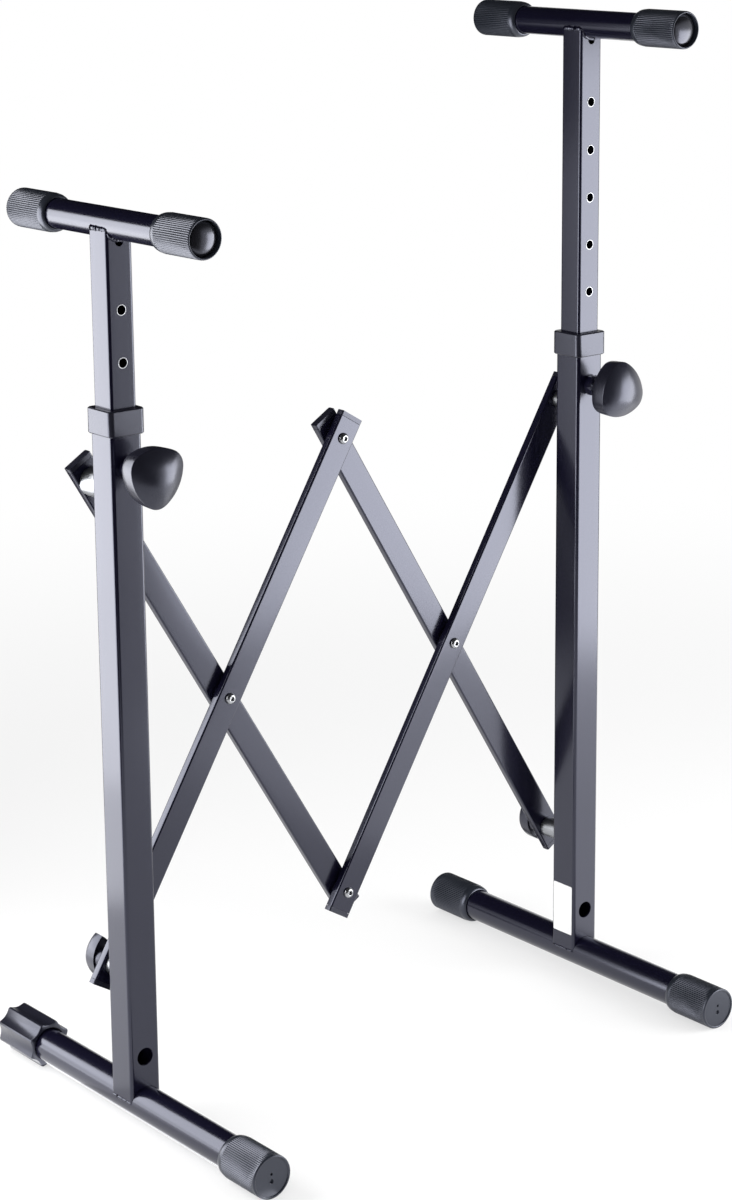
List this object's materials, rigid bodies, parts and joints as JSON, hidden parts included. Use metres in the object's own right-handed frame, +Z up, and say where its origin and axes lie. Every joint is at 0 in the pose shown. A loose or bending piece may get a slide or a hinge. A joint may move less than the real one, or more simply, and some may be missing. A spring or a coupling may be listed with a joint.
{
  "type": "folding keyboard stand",
  "caption": "Folding keyboard stand: two telescoping T-shaped uprights with round feet and padded top bars, joined by a double scissor of flat links.",
  "frame": {"origin": "on the floor, midway between the two columns and midway between the front and rear feet", "axes": "+X from the left stand to the right stand, -Y the front with the height knobs, +Z up"},
  "size_m": [0.5664, 0.384, 0.9194],
  "materials": {
    "coated_steel": "satin black powder coat",
    "rubber": "matte, finely ribbed",
    "plastic": "matte moulded",
    "gloss_plastic": "polished",
    "spacer_steel": "turned",
    "zinc": "bright zinc plate"
  },
  "bodies": {
    "left_stand": {"left_foot_tube": "coated_steel", "left_column": "coated_steel", "left_collar": "plastic", "left_front_foot_cap": "rubber", "left_lock_nut": "coated_steel", "left_upper_spacer": "spacer_steel", "left_upper_screw": "zinc"},
    "left_levelling_cap": {"left_levelling_cap": "plastic"},
    "left_mast": {"left_mast": "coated_steel", "left_mast_glide": "plastic", "left_top_bar": "coated_steel", "left_front_sleeve": "rubber", "left_front_bar_plug": "gloss_plastic", "left_rear_sleeve": "rubber", "left_rear_bar_plug": "gloss_plastic"},
    "left_height_knob": {"left_height_knob": "plastic", "left_lock_screw": "zinc"},
    "link_a": {"link_a": "coated_steel", "link_a_upper_plug": "plastic", "link_a_lower_plug": "plastic"},
    "link_b": {"link_b": "coated_steel", "link_b_upper_plug": "plastic", "link_b_lower_plug": "plastic", "left_centre_pivot_screw": "zinc", "left_centre_pivot_washer": "plastic", "top_pivot_screw": "zinc", "top_pivot_washer": "plastic", "left_slide_bolt": "zinc", "left_slide_spacer": "spacer_steel"},
    "left_clamp_knob": {"left_clamp_knob": "plastic"},
    "link_c": {"link_c": "coated_steel", "link_c_upper_plug": "plastic", "link_c_lower_plug": "plastic", "right_slide_bolt": "zinc", "right_slide_spacer": "spacer_steel"},
    "right_clamp_knob": {"right_clamp_knob": "plastic"},
    "link_d": {"link_d": "coated_steel", "link_d_upper_plug": "plastic", "link_d_lower_plug": "plastic", "right_centre_pivot_screw": "zinc", "right_centre_pivot_washer": "plastic", "bottom_pivot_screw": "zinc", "bottom_pivot_washer": "plastic"},
    "right_stand": {"right_foot_tube": "coated_steel", "right_column": "coated_steel", "right_collar": "plastic", "right_front_foot_cap": "rubber", "right_lock_nut": "coated_steel", "right_upper_spacer": "spacer_steel", "right_upper_screw": "zinc", "right_rear_foot_cap": "rubber"},
    "right_mast": {"right_mast": "coated_steel", "right_mast_glide": "plastic", "right_top_bar": "coated_steel", "right_front_sleeve": "rubber", "right_front_bar_plug": "gloss_plastic", "right_rear_sleeve": "rubber", "right_rear_bar_plug": "gloss_plastic"},
    "right_height_knob": {"right_height_knob": "plastic", "right_lock_screw": "zinc"}
  },
  "joints": [
    {"name": "fold", "type": "hinge", "parent": "left_stand", "child": "link_a", "pos_m": [-0.2575, 0.0417, 0.55597], "axis": [0, 1, 0], "range_deg": [-18.7, 26.7]},
    {"name": "left_centre_pivot", "type": "hinge", "parent": "link_a", "child": "link_b", "pos_m": [-0.12875, 0.0365, 0.34401], "axis": [0, 1, 0], "range_deg": [-53.4, 37.4]},
    {"name": "top_pivot", "type": "hinge", "parent": "link_b", "child": "link_c", "pos_m": [0, 0.0365, 0.55597], "axis": [0, 1, 0], "range_deg": [-37.4, 53.4]},
    {"name": "right_centre_pivot", "type": "hinge", "parent": "link_c", "child": "link_d", "pos_m": [0.12875, 0.0365, 0.34401], "axis": [0, 1, 0], "range_deg": [-53.4, 37.4]},
    {"name": "right_upper_pivot", "type": "hinge", "parent": "link_d", "child": "right_stand", "pos_m": [0.2575, 0.0312, 0.55597], "axis": [0, 1, 0], "range_deg": [-18.7, 26.7]},
    {"name": "left_mast_height", "type": "slide", "parent": "left_stand", "child": "left_mast", "axis": [0, 0, 1], "range_m": [-0.129, 0.172]},
    {"name": "right_mast_height", "type": "slide", "parent": "right_stand", "child": "right_mast", "axis": [0, 0, 1], "range_m": [-0.258, 0.043]},
    {"name": "left_height_knob_turn", "type": "hinge", "parent": "left_stand", "child": "left_height_knob", "pos_m": [-0.2575, -0.045, 0.57597], "axis": [0, -1, 0], "range_deg": [0, 1080]},
    {"name": "right_height_knob_turn", "type": "hinge", "parent": "right_stand", "child": "right_height_knob", "pos_m": [0.2575, -0.045, 0.57597], "axis": [0, -1, 0], "range_deg": [0, 1080]},
    {"name": "left_clamp_knob_turn", "type": "hinge", "parent": "link_b", "child": "left_clamp_knob", "pos_m": [-0.2575, 0.05, 0.13205], "axis": [0, 1, 0], "range_deg": [0, 360]},
    {"name": "right_clamp_knob_turn", "type": "hinge", "parent": "link_c", "child": "right_clamp_knob", "pos_m": [0.2575, 0.06, 0.13205], "axis": [0, 1, 0], "range_deg": [0, 360]},
    {"name": "levelling_cap_turn", "type": "hinge", "parent": "left_stand", "child": "left_levelling_cap", "pos_m": [-0.2575, 0.164, 0.01891], "axis": [0, 1, 0], "continuous": true}
  ],
  "couplings": [
    {"joint": "left_centre_pivot", "follows": "fold", "ratio": -2},
    {"joint": "top_pivot", "follows": "fold", "ratio": 2},
    {"joint": "right_centre_pivot", "follows": "fold", "ratio": -2},
    {"joint": "right_upper_pivot", "follows": "fold", "ratio": 1}
  ]
}
